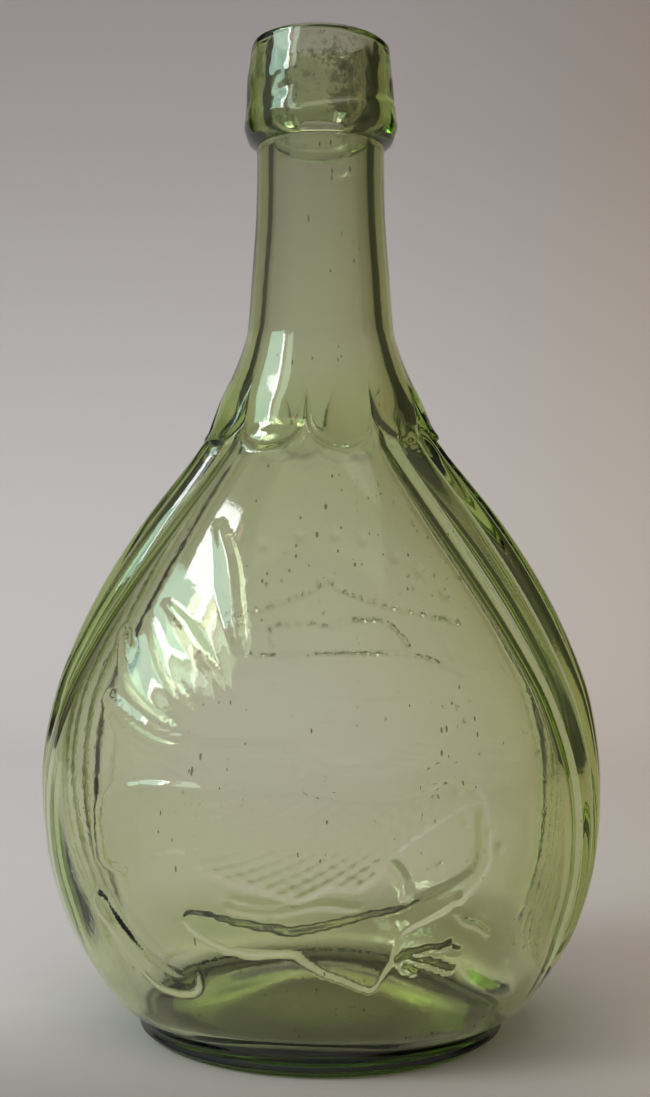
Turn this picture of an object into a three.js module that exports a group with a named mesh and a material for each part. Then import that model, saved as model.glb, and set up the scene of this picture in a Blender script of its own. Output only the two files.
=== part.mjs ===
// Calabash flask of green bottle glass, in millimetres, +Z up, origin at the centre of the foot.
// The front face looks towards -Y. Two pieces of glass: the blown body with its neck, and the
// collar, a second gather laid round the sheared end of the neck and tooled to a taper.
import * as THREE from "three";

// Height of the whole flask
const flaskHeight = 230;

// Foot: a low band with a flat resting ring round a shallow push-up
const footHalfWidth = 42.5;
const footHalfDepth = 39.5;
const footBandHeight = 3;
const footEdgeInset = 2;
const footWaistInset = 0.4;
const restRingWidth = 6;
const pushUpRise = 7;
const baseThickness = 5.5;

// Body
const heelHeight = 8;
const heelHalfWidth = 48.4;
const heelHalfDepth = 42.8;
const bellyHeight = 57;
const bellyHalfWidth = 65.1;
const bellyHalfDepth = 49;
const shoulderHeight = 132;
const shoulderHalfWidth = 30.7;
const shoulderHalfDepth = 24;
const bodyWall = 3.2;
const heelWall = 4.5;

// Neck
const neckRootHeight = 162.5;
const neckRootRadius = 17.2;
const neckTopRadius = 15;
const neckWall = 3.8;

// Petals: a ring of round-ended lobes where the neck meets the shoulder
const petalCount = 10;
const petalFootHeight = 133;
const petalSideRise = 3.2;
const petalTipLength = 8.5;
const petalStand = 2;
const petalFullness = 0.55;

// Ribs down each side edge of the body, which fan out from the heel up to the petals, and the
// grooves that part them from each other and from the faces
const ribsPerSide = 5;
const grooveDepth = 2;
const grooveShoulder = 0.1;
const ribRunOutHeight = 14;
const ribFullHeight = 30;
const ribFanTopHeight = 150;
const ribFanLow = THREE.MathUtils.degToRad(19);
const ribFanHigh = THREE.MathUtils.degToRad(44);
const ribBacking = 1.8;

// Collar: its cap stands above the sheared end of the neck, and its skirt hangs round the neck
const collarCapHeight = 7;
const collarSkirtLength = 17.5;
const collarTopRadius = 16.6;
const collarWideRadius = 18.6;
const collarUndersideHeight = 4.8;
const collarClearance = 0.3;
const lipRound = 1.2;

// Facets
const facetsPerRib = 4;
const facetsPerFace = 20;
const collarFacets = 64;

const glassGreen = new THREE.Color(0.55, 0.62, 0.36);

const { lerp, clamp, smoothstep } = THREE.MathUtils;
const neckEndHeight = flaskHeight - collarCapHeight;
const collarFootHeight = neckEndHeight - collarSkirtLength;
const boreRadius = neckTopRadius - neckWall;

// Where the outline of the body is given: a height with its half width and half depth
const rest = {
  height: 0,
  width: footHalfWidth - footEdgeInset,
  depth: footHalfDepth - footEdgeInset,
};
const footBand = { height: footBandHeight * 0.55, width: footHalfWidth, depth: footHalfDepth };
const footWaist = {
  height: footBandHeight,
  width: footHalfWidth - footWaistInset,
  depth: footHalfDepth - footWaistInset,
};
const heel = { height: heelHeight, width: heelHalfWidth, depth: heelHalfDepth };
const belly = { height: bellyHeight, width: bellyHalfWidth, depth: bellyHalfDepth };
const shoulder = { height: shoulderHeight, width: shoulderHalfWidth, depth: shoulderHalfDepth };
const neckRoot = { height: neckRootHeight, width: neckRootRadius, depth: neckRootRadius };
const neckUnderCollar = { height: collarFootHeight, width: neckTopRadius, depth: neckTopRadius };
const neckEnd = { height: neckEndHeight, width: neckTopRadius, depth: neckTopRadius };

// How the outline passes from one of these to the next, as shares of the way between them:
// of the height, of the half width and of the half depth
const heelToBelly = [
  [0.12, 0.28, 0.3],
  [0.33, 0.64, 0.67],
  [0.59, 0.886, 0.9],
  [0.8, 0.976, 0.98],
];
const bellyToShoulder = [
  [0.25, 0.0625, 0.08],
  [0.44, 0.206, 0.26],
  [0.63, 0.413, 0.48],
  [0.81, 0.67, 0.72],
];
const shoulderToNeck = [
  [0.12, 0.2, 0.2],
  [0.25, 0.44, 0.44],
  [0.45, 0.62, 0.62],
  [0.65, 0.795, 0.795],
  [0.85, 0.925, 0.925],
];
const neckToCollar = [
  [0.32, 0.5, 0.5],
  [0.6, 0.86, 0.86],
];

function stationsBetween(from, to, shares) {
  return shares.map(([heightShare, widthShare, depthShare]) => ({
    height: lerp(from.height, to.height, heightShare),
    width: lerp(from.width, to.width, widthShare),
    depth: lerp(from.depth, to.depth, depthShare),
  }));
}

const outline = [
  rest,
  footBand,
  footWaist,
  heel,
  ...stationsBetween(heel, belly, heelToBelly),
  belly,
  ...stationsBetween(belly, shoulder, bellyToShoulder),
  shoulder,
  ...stationsBetween(shoulder, neckRoot, shoulderToNeck),
  neckRoot,
  ...stationsBetween(neckRoot, neckUnderCollar, neckToCollar),
  neckUnderCollar,
  neckEnd,
];

// A smooth curve through points of [height, value], as a function of height. It is level where
// the values turn round or stay equal, so it never swings past them.
function curveThrough(points) {
  const slopes = points.map(([, value], i) => {
    const [heightBefore, before] = points[Math.max(i - 1, 0)];
    const [heightAfter, after] = points[Math.min(i + 1, points.length - 1)];
    const level = (value - before) * (after - value) <= 0;
    return level ? 0 : (after - before) / (heightAfter - heightBefore);
  });
  return (height) => {
    const z = clamp(height, points[0][0], points.at(-1)[0]);
    const i = Math.max(1, points.findIndex(([pointHeight]) => pointHeight >= z));
    const [z0, v0] = points[i - 1];
    const [z1, v1] = points[i];
    const span = z1 - z0;
    const t = (z - z0) / span;
    const rise = t * t * (3 - 2 * t);
    const leave = t * (1 - t) * (1 - t) * span * slopes[i - 1];
    const arrive = t * t * (t - 1) * span * slopes[i];
    return lerp(v0, v1, rise) + leave + arrive;
  };
}

const halfWidth = curveThrough(outline.map(({ height, width }) => [height, width]));
const halfDepth = curveThrough(outline.map(({ height, depth }) => [height, depth]));

// Sections are superellipses: round at the neck and foot, squarer at the belly.
const squareness = curveThrough([
  [0, 2],
  [bellyHeight, 2.3],
  [shoulderHeight, 2],
]);

const wallAt = curveThrough([
  [heelHeight, heelWall],
  [bellyHeight, bodyWall],
  [shoulderHeight, bodyWall],
  [neckRootHeight, neckWall],
  [neckEndHeight, neckWall],
]);

function sectionPoint(width, depth, power, angle) {
  const bend = (value) => Math.sign(value) * Math.abs(value) ** (2 / power);
  return new THREE.Vector2(width * bend(Math.cos(angle)), depth * bend(Math.sin(angle)));
}

// Half the angle that the ribs of one side take up.
function ribFan(height) {
  return lerp(ribFanLow, ribFanHigh, smoothstep(height, ribFullHeight, ribFanTopHeight));
}

// How fully the ribs have grown at a height, from 0 to 1.
function ribGrowth(height) {
  const runOut = smoothstep(height, ribRunOutHeight, ribFullHeight);
  const petalTipTop = petalFootHeight + petalTipLength;
  return runOut * (1 - smoothstep(height, shoulderHeight, petalTipTop));
}

// The facet angles round a section: the ribs of one side, a face, the other side, a face.
function facetAngles(height) {
  const fan = ribFan(height);
  const ribFacets = ribsPerSide * facetsPerRib;
  const angles = [];
  for (const side of [0, Math.PI]) {
    for (let i = 0; i < ribFacets; i++) angles.push(side + lerp(-fan, fan, i / ribFacets));
    for (let i = 0; i < facetsPerFace; i++) {
      angles.push(side + lerp(fan, Math.PI - fan, i / facetsPerFace));
    }
  }
  return angles;
}

// From -1 to 1 across each of some equal spans, of which each is 1 long.
const acrossSpan = (position) => (position - Math.floor(position)) * 2 - 1;

// How far the surface lies behind the crowns of the ribs at an angle. Each rib is an arch, and
// the outermost grooves rise to the faces over a soft shoulder.
function grooveCut(height, angle) {
  const fromSide = Math.atan2(Math.sin(angle), Math.abs(Math.cos(angle)));
  const share = fromSide / ribFan(height);
  const across = acrossSpan(((share + 1) / 2) * ribsPerSide);
  const arch = Math.abs(share) < 1 ? across * across : 1;
  const onRibs = 1 - smoothstep(Math.abs(share), 1, 1 + grooveShoulder);
  return grooveDepth * ribGrowth(height) * arch * onRibs;
}

// How far the petals stand out of the body at an angle. Each ends in a round tip.
function petalRise(height, angle) {
  const foot = petalFootHeight + petalSideRise * Math.cos(angle) ** 2;
  const fromFront = angle + Math.PI / 2;
  const across = acrossSpan((fromFront / (2 * Math.PI)) * petalCount);
  const intoTip = Math.max(foot + petalTipLength - height, 0) / petalTipLength;
  const inside = Math.max(1 - across * across - intoTip * intoTip, 0);
  const fade = 1 - smoothstep(height, foot, neckRootHeight);
  return petalStand * fade * inside ** petalFullness;
}

// A point of the outside of the body.
function outerPoint(height, angle) {
  const plain = sectionPoint(halfWidth(height), halfDepth(height), squareness(height), angle);
  const relief = petalRise(height, angle) - grooveCut(height, angle);
  return plain.setLength(plain.length() + relief);
}

// A point of the inside of the body. The wall is thicker behind the ribs.
function innerPoint(height, angle) {
  const wall = wallAt(height);
  const width = halfWidth(height) - wall - ribBacking * ribGrowth(height);
  const depth = halfDepth(height) - wall;
  return sectionPoint(width, depth, squareness(height), angle);
}

// Heights from one to another in equal steps, without the last.
function heightsBetween(from, to, steps) {
  return Array.from({ length: steps }, (_, i) => lerp(from, to, i / steps));
}

function ringAt(height, pointAt) {
  return facetAngles(height).map((angle) => {
    const { x, y } = pointAt(height, angle);
    return new THREE.Vector3(x, y, height);
  });
}

// A ring drawn in towards the axis to a share of its size, at a height of its own.
function shrunkRing(ring, share, height) {
  return ring.map((point) => new THREE.Vector3(point.x * share, point.y * share, height));
}

// Rings of a low dome that rises from an edge ring to the axis, for some shares of its radius.
function domeRings(edge, edgeHeight, rise, shares) {
  return shares.map((share) => {
    const lift = (rise * (1 + Math.cos(Math.PI * share))) / 2;
    return shrunkRing(edge, share, edgeHeight + lift);
  });
}

// A closed skin through rings of equal counts, from one point on the axis to another.
function skinThrough(startHeight, rings, endHeight) {
  const count = rings[0].length;
  const positions = [0, 0, startHeight];
  for (const ring of rings) for (const point of ring) positions.push(...point);
  const last = positions.length / 3;
  positions.push(0, 0, endHeight);
  const at = (ring, i) => 1 + ring * count + (i % count);
  const triangles = [];
  for (let i = 0; i < count; i++) {
    triangles.push(0, at(0, i + 1), at(0, i));
    for (let ring = 0; ring < rings.length - 1; ring++) {
      triangles.push(at(ring, i), at(ring, i + 1), at(ring + 1, i));
      triangles.push(at(ring + 1, i), at(ring, i + 1), at(ring + 1, i + 1));
    }
    triangles.push(at(rings.length - 1, i), at(rings.length - 1, i + 1), last);
  }
  const geometry = new THREE.BufferGeometry();
  geometry.setAttribute("position", new THREE.Float32BufferAttribute(positions, 3));
  geometry.setIndex(triangles);
  geometry.computeVertexNormals();
  return geometry;
}

function glassMaterial(name) {
  return new THREE.MeshStandardMaterial({
    name,
    color: glassGreen,
    roughness: 0.08,
    metalness: 0,
    transparent: true,
    opacity: 0.55,
  });
}

function outsideRings() {
  const petalTipTop = petalFootHeight + petalSideRise + petalTipLength;
  const heights = [
    ...heightsBetween(0, footBandHeight, 4),
    ...heightsBetween(footBandHeight, heelHeight, 3),
    ...heightsBetween(heelHeight, bellyHeight, 6),
    ...heightsBetween(bellyHeight, shoulderHeight, 8),
    ...heightsBetween(shoulderHeight, petalTipTop, 10),
    ...heightsBetween(petalTipTop, neckRootHeight, 4),
    ...heightsBetween(neckRootHeight, collarFootHeight, 4),
    collarFootHeight,
    neckEndHeight,
  ];
  return heights.map((height) => ringAt(height, outerPoint));
}

function insideRings() {
  const floorEdgeHeight = baseThickness + heelWall;
  const heights = [
    ...heightsBetween(neckEndHeight, neckRootHeight, 2),
    ...heightsBetween(neckRootHeight, shoulderHeight, 4),
    ...heightsBetween(shoulderHeight, bellyHeight, 6),
    ...heightsBetween(bellyHeight, floorEdgeHeight, 4),
    floorEdgeHeight,
  ];
  const walls = heights.map((height) => ringAt(height, innerPoint));
  const floorEdge = walls.at(-1);
  const coveHeight = lerp(baseThickness, floorEdgeHeight, 0.45);
  const cove = shrunkRing(floorEdge, 0.95, coveHeight);
  return [...walls, cove, ...domeRings(floorEdge, baseThickness, pushUpRise, [0.82, 0.6, 0.35])];
}

function undersideRings() {
  const restRing = ringAt(0, outerPoint);
  const innerEdge = shrunkRing(restRing, 1 - restRingWidth / rest.width, 0);
  return [...domeRings(innerEdge, 0, pushUpRise, [0.25, 0.5, 0.75]), innerEdge];
}

function blownBody() {
  const rings = [...undersideRings(), ...outsideRings(), ...insideRings()];
  const geometry = skinThrough(pushUpRise, rings, pushUpRise + baseThickness);
  return new THREE.Mesh(geometry, glassMaterial("body_glass"));
}

// The collar rests on the sheared end of the neck, which is the height 0 of its own frame.
function appliedCollar() {
  const wrapRadius = neckTopRadius + collarClearance;
  const skirtFoot = -collarSkirtLength;
  const wideHeight = skirtFoot + collarUndersideHeight;
  const profile = new THREE.Path();
  profile.moveTo(boreRadius, 0);
  profile.lineTo(wrapRadius, 0);
  profile.lineTo(wrapRadius, skirtFoot);
  profile.quadraticCurveTo(
    collarWideRadius,
    skirtFoot + collarUndersideHeight / 4,
    collarWideRadius,
    wideHeight,
  );
  profile.lineTo(collarTopRadius, collarCapHeight - lipRound);
  profile.quadraticCurveTo(
    collarTopRadius,
    collarCapHeight,
    collarTopRadius - lipRound,
    collarCapHeight,
  );
  profile.lineTo(boreRadius + lipRound, collarCapHeight);
  profile.quadraticCurveTo(boreRadius, collarCapHeight, boreRadius, collarCapHeight - lipRound);
  profile.closePath();
  const geometry = new THREE.LatheGeometry(profile.getPoints(4), collarFacets);
  geometry.rotateX(Math.PI / 2);
  const mesh = new THREE.Mesh(geometry, glassMaterial("collar_glass"));
  mesh.position.z = neckEndHeight;
  return mesh;
}

const flask = new THREE.Group();
flask.name = "calabash_flask";
for (const [name, make] of [["blown_body", blownBody], ["applied_collar", appliedCollar]]) {
  const mesh = make();
  mesh.name = name;
  flask.add(mesh);
}

export default flask;
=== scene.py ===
# Calabash flask of light olive-green bottle glass, on a pale sweep in soft window light.
# Shapes are worked out in millimetres in the frame of the part: +Z up, the front face towards -Y.
import math

import bpy
import numpy as np
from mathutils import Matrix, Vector, noise


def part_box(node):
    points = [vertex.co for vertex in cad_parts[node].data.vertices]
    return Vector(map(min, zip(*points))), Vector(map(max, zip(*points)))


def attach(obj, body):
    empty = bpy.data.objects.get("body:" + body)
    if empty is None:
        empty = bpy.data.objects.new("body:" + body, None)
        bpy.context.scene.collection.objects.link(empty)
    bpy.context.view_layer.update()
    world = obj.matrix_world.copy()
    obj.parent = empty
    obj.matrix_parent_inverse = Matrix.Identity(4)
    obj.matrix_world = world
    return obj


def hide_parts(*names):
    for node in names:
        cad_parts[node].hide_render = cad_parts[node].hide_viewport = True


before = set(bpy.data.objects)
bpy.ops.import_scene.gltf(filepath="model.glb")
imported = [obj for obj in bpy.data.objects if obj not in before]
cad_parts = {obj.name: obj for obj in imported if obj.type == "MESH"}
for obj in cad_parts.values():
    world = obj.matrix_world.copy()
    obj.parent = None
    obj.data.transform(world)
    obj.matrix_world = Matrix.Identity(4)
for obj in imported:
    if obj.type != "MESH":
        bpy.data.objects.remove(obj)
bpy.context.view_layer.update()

MM = 0.001


def corner_mm(corner):
    return [value / MM for value in corner]


# Sizes that the frame gives

BODY_HIGH = corner_mm(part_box("blown_body")[1])
COLLAR_LOW, COLLAR_HIGH = [corner_mm(corner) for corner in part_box("applied_collar")]
BELLY_HALF_WIDTH = BODY_HIGH[0]
BELLY_HALF_DEPTH = BODY_HIGH[1]
FLASK_HEIGHT = COLLAR_HIGH[2]
COLLAR_FOOT = COLLAR_LOW[2]
COLLAR_WIDE_RADIUS = COLLAR_HIGH[0]

# Sizes of the outside. A fade is a span of the cosine or sine of the angle round the flask.

FOOT_HALF_WIDTH = 42.5
FOOT_HALF_DEPTH = 39.5
FOOT_BAND_HEIGHT = 3
FOOT_BAND_CREST_SHARE = 0.55
FOOT_EDGE_INSET = 2
FOOT_WAIST_INSET = 0.4
# (height, half width, half depth)
HEEL = (8, 48.4, 42.8)
BELLY = (57, BELLY_HALF_WIDTH, BELLY_HALF_DEPTH)
SHOULDER = (132, 30.7, 24)
NECK_ROOT = (162.5, 17.2, 17.2)
NECK_TOP_RADIUS = 15
# Powers of the superellipse that a section is
ROUND_POWER = 2
BELLY_POWER = 2.3
COLLAR_TOP_RADIUS = 16.6
COLLAR_UNDERSIDE_HEIGHT = 4.8
LIP_ROUND = 1.2
PETAL_COUNT = 10
PETAL_FOOT = 133
PETAL_SIDE_RISE = 3.2
PETAL_TIP_LENGTH = 8.5
PETAL_STAND = 2
PETAL_EDGE = 0.18
PETAL_ROLL_SHARE = 0.6
PETAL_MELT_START = 2
PETALS_MERGE = (140, 150)
BACK_PETAL_SOFTENING = 0.7
BACK_PETAL_FADE = (0.2, 0.8)
RIBS_PER_SIDE = 5
RIB_RUN_OUT = 14
RIB_FULL = 30
RIB_FAN_TOP = 150
RIB_FAN_LOW = math.radians(17)
RIB_FAN_HIGH = math.radians(42)
GROOVE_DEPTH = 2
GROOVE_SHOULDER = 0.17
SOFT_SHOULDER = 0.6
WORN_SHARE = 0.5
WORN_FADE = (0, 0.6)
BACK_FADE = (-0.05, 0.15)

# Sizes of the base and the inside, chosen by what shows through the glass

REST_RING_WIDTH = 6
PUSH_UP_RISE = 7.5
BASE_THICKNESS = 4.4
FLOOR_EDGE = 10
HEEL_WALL = 3.8
BELLY_WALL = 2.6
SHOULDER_WALL = 5.2
NECK_WALL = 3.8
BORE_RADIUS = NECK_TOP_RADIUS - NECK_WALL
RIB_BACKING = 2.6
LEFT_BACKING_SHARE = 0.3
LEFT_FADE = (-0.3, 0.6)
GROOVE_INSIDE_SHARE = 0.5
BACK_HEEL_THICKENING = 5
BACK_HEEL_SPAN = (11, 24)
BACK_HEEL_FADE = (0.1, 0.7)


# The outline of the body: (height, half width, half depth)

def between(start, end, shares):
    """Points between two others, at shares of the way in height, width and depth."""
    start, end = np.array(start, float), np.array(end, float)
    return [tuple(start + (end - start) * np.array(share)) for share in shares]


NECK_UNDER_COLLAR = (COLLAR_FOOT, NECK_TOP_RADIUS, NECK_TOP_RADIUS)
HEEL_TO_BELLY = [(0.12, 0.28, 0.3), (0.33, 0.64, 0.67), (0.59, 0.886, 0.9), (0.8, 0.976, 0.98)]
BELLY_TO_SHOULDER = [
    (0.25, 0.0625, 0.08),
    (0.44, 0.206, 0.26),
    (0.63, 0.413, 0.48),
    (0.81, 0.67, 0.72),
]
SHOULDER_TO_NECK = [
    (0.12, 0.2, 0.2),
    (0.25, 0.44, 0.44),
    (0.45, 0.62, 0.62),
    (0.65, 0.795, 0.795),
    (0.85, 0.925, 0.925),
]
NECK_TO_COLLAR = [(0.32, 0.5, 0.5), (0.6, 0.86, 0.86)]
OUTLINE = [
    (0, FOOT_HALF_WIDTH - FOOT_EDGE_INSET, FOOT_HALF_DEPTH - FOOT_EDGE_INSET),
    (FOOT_BAND_HEIGHT * FOOT_BAND_CREST_SHARE, FOOT_HALF_WIDTH, FOOT_HALF_DEPTH),
    (FOOT_BAND_HEIGHT, FOOT_HALF_WIDTH - FOOT_WAIST_INSET, FOOT_HALF_DEPTH - FOOT_WAIST_INSET),
    HEEL,
    *between(HEEL, BELLY, HEEL_TO_BELLY),
    BELLY,
    *between(BELLY, SHOULDER, BELLY_TO_SHOULDER),
    SHOULDER,
    *between(SHOULDER, NECK_ROOT, SHOULDER_TO_NECK),
    NECK_ROOT,
    *between(NECK_ROOT, NECK_UNDER_COLLAR, NECK_TO_COLLAR),
    NECK_UNDER_COLLAR,
    (FLASK_HEIGHT, NECK_TOP_RADIUS, NECK_TOP_RADIUS),
]


def curve_through(points):
    """A smooth curve through (height, value) points, level where the values turn or stay equal."""
    at = np.array([p[0] for p in points], float)
    values = np.array([p[1] for p in points], float)
    before = np.concatenate([[0], np.diff(values)])
    after = np.concatenate([np.diff(values), [0]])
    wide = np.concatenate([at[1:], at[-1:]]) - np.concatenate([at[:1], at[:-1]])
    slopes = np.where(before * after <= 0, 0, (before + after) / wide)

    def curve(height):
        z = np.clip(height, at[0], at[-1])
        i = np.clip(np.searchsorted(at, z), 1, len(at) - 1)
        span = at[i] - at[i - 1]
        t = (z - at[i - 1]) / span
        rise = t * t * (3 - 2 * t)
        leave = t * (1 - t) ** 2 * span * slopes[i - 1]
        arrive = t * t * (t - 1) * span * slopes[i]
        return values[i - 1] + (values[i] - values[i - 1]) * rise + leave + arrive

    return curve


half_width = curve_through([(z, w) for z, w, d in OUTLINE])
half_depth = curve_through([(z, d) for z, w, d in OUTLINE])
squareness = curve_through([(0, ROUND_POWER), (BELLY[0], BELLY_POWER), (SHOULDER[0], ROUND_POWER)])
wall_at = curve_through([
    (HEEL[0], HEEL_WALL),
    (BELLY[0], BELLY_WALL),
    (SHOULDER[0], SHOULDER_WALL),
    (NECK_ROOT[0], NECK_WALL),
    (COLLAR_FOOT, NECK_WALL),
])


def smooth(value, low, high):
    t = np.clip((value - low) / (high - low), 0, 1)
    return t * t * (3 - 2 * t)


def section(width, depth, power, angle):
    """x and y of a superellipse."""
    cos, sin = np.cos(angle), np.sin(angle)
    x = width * np.sign(cos) * np.abs(cos) ** (2 / power)
    y = depth * np.sign(sin) * np.abs(sin) ** (2 / power)
    return x, y


def across_span(position):
    """-1 to 1 from one whole number to the next."""
    return (position - np.floor(position)) * 2 - 1


def rib_fan(z):
    return RIB_FAN_LOW + (RIB_FAN_HIGH - RIB_FAN_LOW) * smooth(z, RIB_FULL, RIB_FAN_TOP)


def rib_growth(z):
    under_petals = 1 - smooth(z, SHOULDER[0], PETAL_FOOT + PETAL_TIP_LENGTH)
    return smooth(z, RIB_RUN_OUT, RIB_FULL) * under_petals


def rib_share(z, angle):
    """How far an angle lies from the side, as a share of half the band of ribs."""
    return np.arctan2(np.sin(angle), np.abs(np.cos(angle))) / rib_fan(z)


def at_back(angle):
    return smooth(np.sin(angle), *BACK_FADE)


def groove_cut(z, angle):
    """Each rib is an arch, and the outermost grooves rise to the faces over a soft shoulder.

    At the back left they are worn, because the photo shows no sharp ribs through that side.
    """
    share = rib_share(z, angle)
    across = across_span((share + 1) / 2 * RIBS_PER_SIDE)
    arch = np.where(np.abs(share) < 1, across**2, 1)
    worn = smooth(-np.cos(angle), *WORN_FADE) * at_back(angle)
    on_ribs = 1 - smooth(np.abs(share), 1, 1 + GROOVE_SHOULDER + SOFT_SHOULDER * worn)
    return GROOVE_DEPTH * rib_growth(z) * arch * on_ribs * (1 - WORN_SHARE * worn)


def petal_rise(z, angle):
    """Round-ended pads with rolled edges, which meet in grooves and melt into the neck."""
    foot = PETAL_FOOT + PETAL_SIDE_RISE * np.cos(angle) ** 2
    across = across_span((angle + math.pi / 2) / (2 * math.pi) * PETAL_COUNT)
    into_tip = np.maximum(foot + PETAL_TIP_LENGTH - z, 0) / PETAL_TIP_LENGTH
    inside = np.maximum(1 - np.sqrt(across**2 + into_tip**2), 0)
    edge = PETAL_EDGE + BACK_PETAL_SOFTENING * smooth(np.sin(angle), *BACK_PETAL_FADE)
    roll = np.sqrt(1 - (1 - np.minimum(inside / edge, 1)) ** 2)
    crown = 1 - (1 - inside) ** 2
    pad = PETAL_ROLL_SHARE * roll + (1 - PETAL_ROLL_SHARE) * crown
    pad += (1 - pad) * smooth(z, *PETALS_MERGE)
    return PETAL_STAND * (1 - smooth(z, foot + PETAL_MELT_START, NECK_ROOT[0])) * pad


# Relief drawn on the two faces, in x and z. A stroke is a list of (x, z, half width of its top).

SAMPLE_STEP = 0.4
LINE_TOP = 0.1
LINE_EDGE = 0.8
OUTLINE_SOFTNESS = 0.75
BIRD_RISE = 0.35
PLUMAGE_RISE = 0.7
RIBBON_RISE = 0.55
CURL_RISE = 0.75
CURL_EDGE = 1.6


def line(*points, top=LINE_TOP):
    return [(x, z, top) for x, z in points]


BIRD = [
    (40.6, 59.6), (38, 63.2), (35, 65), (31, 64.2), (27, 62.2), (22, 61.2), (16, 61.1), (8, 62.6),
    (-4, 63.2), (-17, 62.6), (-28, 62.4), (-38, 60.5), (-45, 53), (-46, 46), (-38, 43.6),
    (-30, 45.5), (-23.5, 48.6), (-18.5, 45.4), (-12, 43), (-4, 41), (3.4, 39.6), (9.5, 42.3),
    (14.5, 42.1), (18, 44), (22, 48.2), (28, 53.2), (34.5, 57.4), (37.5, 59),
]
RIBBON = [
    (-21.8, 35), (-19.6, 36.2), (-16, 35.8), (-10.8, 34.7), (-5, 34), (2, 33.4), (9.5, 34.9),
    (17, 36.9), (23.6, 38.4), (29, 40.8), (34.7, 43.7), (38.4, 46.5), (39.2, 51), (39.2, 57),
    (40.8, 58), (41.6, 51), (41.2, 46), (38.4, 42), (33.8, 38.1), (29, 35.5), (24.6, 33.2),
    (23.2, 30.5), (22, 27.4), (20, 24), (17.9, 21), (15.4, 21.4), (11.7, 23.1), (8, 24.5),
    (4.3, 26.6), (1.8, 28.3), (-3.4, 28), (-8.4, 27.9), (-13.8, 28.9), (-18.6, 31), (-21.2, 33),
]
CURL = [
    (-43.8, 36), (-43.2, 33), (-39, 28.6), (-34, 22.8), (-30, 18.8), (-25.7, 17.4), (-20.6, 17.8),
    (-18.8, 20), (-19.4, 23), (-20.6, 22.4), (-21.8, 21.6), (-23.6, 21.6), (-26.7, 23), (-31.6, 26.4),
    (-36.8, 32), (-41, 37.5),
]
LEG = [line((22, 47.6), (24.2, 44.6), (24.9, 40.8), top=0.5)]
FOOT_LINES = [
    line((-5, 39.8), (-4.4, 37), (-3, 34)),
    line((-11, 39.4), (-6, 38.4), (-1, 38.6)),
    line((-12, 37.4), (-6, 36.6), (0, 37)),
    line((1, 37.4), (8, 38.8), (15, 38.2)),
]
CLAWS = [
    line((23, 27.3), (28, 26.6), (33.5, 24.2)),
    line((24, 27.9), (30, 29.2), (35.2, 28.8)),
    line((23.5, 26.6), (26.4, 24.2)),
    line((22.8, 27.3), (24.4, 24.8)),
    line((31, 28.8), (33.6, 30.4)),
]
TWIG = line((35, 37.2), (36.6, 34.8), (39, 33.8), (41, 31.8))
BERRIES = [(37, 55.4), (41.8, 53.4), (43.6, 49.8), (31.5, 46.6), (35.4, 39.6)]
BACK_LINE = line((6, 63), (13, 61.6), (21, 61.2), (28, 62.8), (34, 64.9), (37.6, 63.6), top=0.5)
EYE = (35.4, 62.2)

TAIL_RISE = 0.35
TAIL_EDGE = 0.9
TAIL = [
    [(-17, 61, 1.2), (-27, 61.5, 1.8), (-37, 59, 1.4)],
    [(-17, 58, 1.2), (-29, 58, 1.8), (-41, 54.5, 1.4)],
    [(-17, 54.6, 1.2), (-31, 54, 1.8), (-43, 50, 1.4)],
    [(-17, 51, 1.2), (-31, 49.6, 1.8), (-43, 46, 1.4)],
]
# (rise, 1 to drop on the right of the stroke or -1 on the left, stroke)
WING = [
    (0.7, 1, [(-40.5, 79.5, 0.5), (-34, 76, 1.5), (-28, 73.4, 1.4), (-22.5, 71.8, 0.3)]),
    (0.75, 1, [(-38, 92.5, 1), (-35, 87.5, 2.8), (-31.5, 82, 2.8), (-24, 75, 0.3)]),
    (0.45, 1, [(-32, 96, 0.5), (-28.6, 90.6, 1.8), (-25, 85, 1.8), (-20, 79, 0.3)]),
    (0.5, -1, [(-29, 99, 0.5), (-25, 94.5, 1.9), (-20.5, 89.5, 1.9), (-16, 85, 0.4)]),
    (0.8, -1, [(-18.4, 115.5, 0.8), (-16.4, 109, 2), (-14.8, 102, 2.1), (-13, 95, 1.8), (-11.4, 90, 0.5)]),
]
FEATHER_REACH = 1.5
FEATHER_SIDES = (-0.3, 0.9)
WING_LINES = [
    line((-39.8, 76.4), (-34.4, 71.6), (-27, 68), (-16.8, 63.6)),
    line((-24.2, 72), (-17, 70.1), (-5.4, 70.5), (1.3, 69.4), (3.6, 65.8)),
    line((-15.6, 84.6), (-13.6, 81), (-10.6, 79.6)),
]
# (strokes, rise, width of their soft edges)
FRONT_LINES = [
    (LEG, 0.75, 0.9),
    (FOOT_LINES, 0.3, 0.7),
    (CLAWS, 0.5, 0.5),
    ([TWIG], 0.5, 0.8),
    (WING_LINES, 0.35, 1.2),
    ([BACK_LINE], 0.5, 2.2),
]
BERRY_RISE = 0.4
BERRY_RADIUS = 1.3
BERRY_EDGE = 0.9
# Spans of x and z over which the bird and its plumage fade out
BIRD_LEFT = (-44, -33)
PLUMAGE_LEFT = (-24, -14)
PLUMAGE_RIGHT = (28, 34)
PLUMAGE_TOP = (56, 61)
# The rows of plumes have this slope at x = PLUME_ROWS_AT, and get steeper to the right
PLUME_ROWS_AT = -10
PLUME_ROW_SLOPE = math.radians(16)
PLUME_ROW_TURN_PER_MM = math.radians(0.35)
PLUME_ROW_STEP = 2.1
PLUME_LENGTH = 3.6
PLUME_OFFSET = 0.13
PLUME_SHUFFLE = 2.7
PLUME_DROP = (-1, -0.6)

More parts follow.
